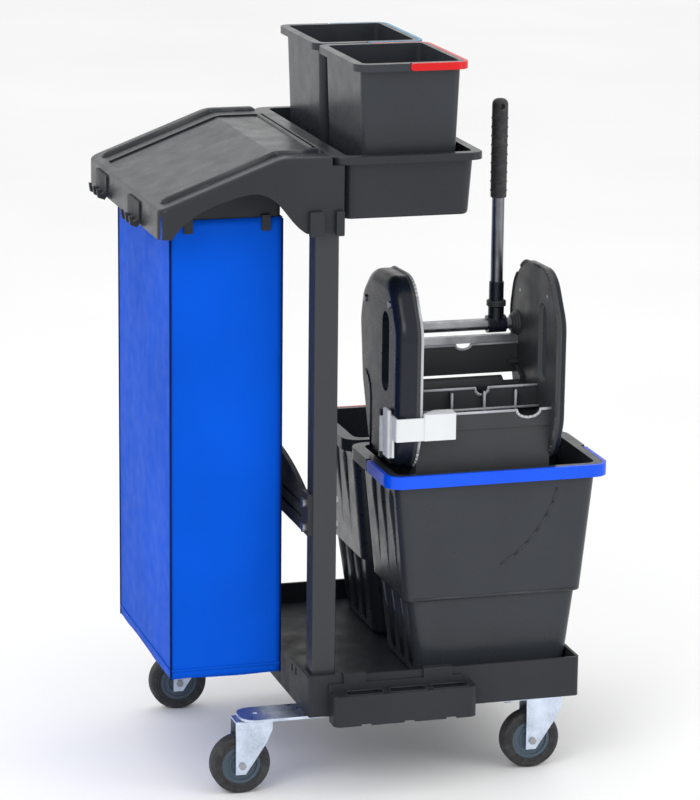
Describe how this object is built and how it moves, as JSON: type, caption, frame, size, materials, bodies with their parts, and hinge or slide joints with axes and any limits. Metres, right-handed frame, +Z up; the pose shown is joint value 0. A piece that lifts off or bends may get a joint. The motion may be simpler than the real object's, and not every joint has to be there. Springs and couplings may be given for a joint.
{
  "type": "housekeeping cart",
  "caption": "Two-bucket mopping trolley with press wringer and lever, top tray with small buckets, hinged lid over a waste bag, and swivel casters.",
  "frame": {"origin": "on the floor, at the middle of the bounding box", "axes": "+X towards the mopping buckets, +Y to the back, +Z up"},
  "size_m": [0.7902, 0.5712, 1.205],
  "materials": {
    "charcoal_plastic": "fine-grained moulded plastic",
    "gloss_charcoal": "smooth moulded plastic",
    "post_grey": "satin powder coat",
    "zinc": "zinc plated",
    "bolt_steel": "plated",
    "tyre": "matt rubber",
    "wheel_centre": "moulded",
    "bag_blue": "coated woven cloth",
    "rim_blue": "moulded",
    "red": "moulded",
    "teal": "moulded",
    "bucket_grey": "moulded",
    "wringer_grey": "moulded",
    "navy": "moulded",
    "pale_grey": "moulded",
    "lever_metal": "drawn tube",
    "grip_black": "ribbed grip"
  },
  "bodies": {
    "chassis": {"base_tray": "charcoal_plastic", "caster_arm_front_left": "zinc", "caster_arm_rear_left": "zinc", "caster_arm_front_right": "zinc", "caster_arm_rear_right": "zinc", "arm_bolts": "bolt_steel", "king_pins": "zinc", "front_post": "post_grey", "rear_post": "post_grey", "crossbar": "charcoal_plastic", "crossbar_bolts": "bolt_steel", "clamp_plates": "charcoal_plastic", "handle_rest": "charcoal_plastic", "shroud": "gloss_charcoal", "lid_hinge_pin": "bolt_steel", "bag_frame": "charcoal_plastic", "bag_hooks": "charcoal_plastic", "waste_bag": "bag_blue", "end_hooks": "charcoal_plastic", "top_tray": "gloss_charcoal", "tray_bolts": "bolt_steel"},
    "lid": {"lid": "gloss_charcoal"},
    "swivel_front_left": {"caster_fork_front_left": "zinc", "axle_front_left": "bolt_steel"},
    "wheel_front_left": {"wheel_hub_front_left": "wheel_centre", "tyre_front_left": "tyre"},
    "swivel_rear_left": {"caster_fork_rear_left": "zinc", "axle_rear_left": "bolt_steel"},
    "wheel_rear_left": {"wheel_hub_rear_left": "wheel_centre", "tyre_rear_left": "tyre"},
    "swivel_front_right": {"caster_fork_front_right": "zinc", "axle_front_right": "bolt_steel"},
    "wheel_front_right": {"wheel_hub_front_right": "wheel_centre", "tyre_front_right": "tyre"},
    "swivel_rear_right": {"caster_fork_rear_right": "zinc", "axle_rear_right": "bolt_steel"},
    "wheel_rear_right": {"wheel_hub_rear_right": "wheel_centre", "tyre_rear_right": "tyre"},
    "small_bucket_front": {"small_bucket_front": "bucket_grey"},
    "small_bail_front": {"small_bail_front": "red"},
    "small_bucket_rear": {"small_bucket_rear": "bucket_grey"},
    "small_bail_rear": {"small_bail_rear": "teal"},
    "bucket_front": {"bucket_front": "bucket_grey"},
    "bail_front": {"bail_front": "rim_blue"},
    "bucket_rear": {"bucket_rear": "bucket_grey"},
    "bail_rear": {"bail_rear": "red"},
    "wringer": {"wringer_basket": "wringer_grey", "wringer_frame_left": "wringer_grey", "wringer_frame_right": "wringer_grey", "wringer_cover_left": "navy", "wringer_cover_right": "navy", "wringer_screws": "bolt_steel", "wringer_brace": "bolt_steel"},
    "lever": {"wringer_shaft": "bolt_steel", "lever_socket": "navy", "lever_collar": "navy", "lever_tube": "lever_metal", "lever_grip": "grip_black"},
    "jaw": {"press_jaw": "wringer_grey"},
    "latch": {"wringer_latch": "pale_grey"}
  },
  "joints": [
    {"name": "swivel_front_left", "type": "hinge", "parent": "chassis", "child": "swivel_front_left", "pos_m": [-0.206, -0.205, 0.12], "axis": [0, 0, 1], "continuous": true},
    {"name": "wheel_front_left", "type": "hinge", "parent": "swivel_front_left", "child": "wheel_front_left", "pos_m": [-0.232, -0.205, 0.05], "axis": [0, 1, 0], "continuous": true},
    {"name": "swivel_rear_left", "type": "hinge", "parent": "chassis", "child": "swivel_rear_left", "pos_m": [-0.206, 0.239, 0.12], "axis": [0, 0, 1], "continuous": true},
    {"name": "wheel_rear_left", "type": "hinge", "parent": "swivel_rear_left", "child": "wheel_rear_left", "pos_m": [-0.232, 0.239, 0.05], "axis": [0, 1, 0], "continuous": true},
    {"name": "swivel_front_right", "type": "hinge", "parent": "chassis", "child": "swivel_front_right", "pos_m": [0.298, -0.205, 0.12], "axis": [0, 0, 1], "continuous": true},
    {"name": "wheel_front_right", "type": "hinge", "parent": "swivel_front_right", "child": "wheel_front_right", "pos_m": [0.272, -0.205, 0.05], "axis": [0, 1, 0], "continuous": true},
    {"name": "swivel_rear_right", "type": "hinge", "parent": "chassis", "child": "swivel_rear_right", "pos_m": [0.298, 0.239, 0.12], "axis": [0, 0, 1], "continuous": true},
    {"name": "wheel_rear_right", "type": "hinge", "parent": "swivel_rear_right", "child": "wheel_rear_right", "pos_m": [0.272, 0.239, 0.05], "axis": [0, 1, 0], "continuous": true},
    {"name": "lid", "type": "hinge", "parent": "chassis", "child": "lid", "pos_m": [-0.101, 0.017, 1.0605], "axis": [0, 1, 0], "range_deg": [0, 80]},
    {"name": "small_bucket_front_lift", "type": "slide", "parent": "chassis", "child": "small_bucket_front", "axis": [0, 0, 1], "range_m": [0, 0.11]},
    {"name": "small_bail_front", "type": "hinge", "parent": "small_bucket_front", "child": "small_bail_front", "pos_m": [0.0465, -0.106, 1.199], "axis": [0, -1, 0], "range_deg": [0, 95]},
    {"name": "small_bucket_rear_lift", "type": "slide", "parent": "chassis", "child": "small_bucket_rear", "axis": [0, 0, 1], "range_m": [0, 0.11]},
    {"name": "small_bail_rear", "type": "hinge", "parent": "small_bucket_rear", "child": "small_bail_rear", "pos_m": [0.0465, 0.14, 1.199], "axis": [0, -1, 0], "range_deg": [0, 95]},
    {"name": "bucket_front_lift", "type": "slide", "parent": "chassis", "child": "bucket_front", "axis": [0, 0, 1], "range_m": [0, 0.05]},
    {"name": "bail_front", "type": "hinge", "parent": "bucket_front", "child": "bail_front", "pos_m": [0.205, -0.109, 0.5145], "axis": [-1, 0, 0], "range_deg": [0, 14]},
    {"name": "bucket_rear_lift", "type": "slide", "parent": "chassis", "child": "bucket_rear", "axis": [0, 0, 1], "range_m": [0, 0.05]},
    {"name": "bail_rear", "type": "hinge", "parent": "bucket_rear", "child": "bail_rear", "pos_m": [0.205, 0.143, 0.5145], "axis": [1, 0, 0], "range_deg": [0, 95]},
    {"name": "wringer_lift", "type": "slide", "parent": "bucket_front", "child": "wringer", "axis": [0, 0, 1], "range_m": [0, 0.05]},
    {"name": "lever", "type": "hinge", "parent": "wringer", "child": "lever", "pos_m": [0.186, -0.011, 0.724], "axis": [1, 0, 0], "range_deg": [0, 75], "stiffness_Nm_per_rad": 1.5, "springref_deg": -17.19},
    {"name": "jaw", "type": "slide", "parent": "wringer", "child": "jaw", "axis": [0, -1, 0], "range_m": [0, 0.045]},
    {"name": "latch", "type": "hinge", "parent": "wringer", "child": "latch", "pos_m": [0.0245, -0.146, 0.586], "axis": [0, 0, -1], "range_deg": [0, 25]}
  ],
  "couplings": [
    {"joint": "jaw", "follows": "lever", "m_per_rad": 0.034}
  ]
}
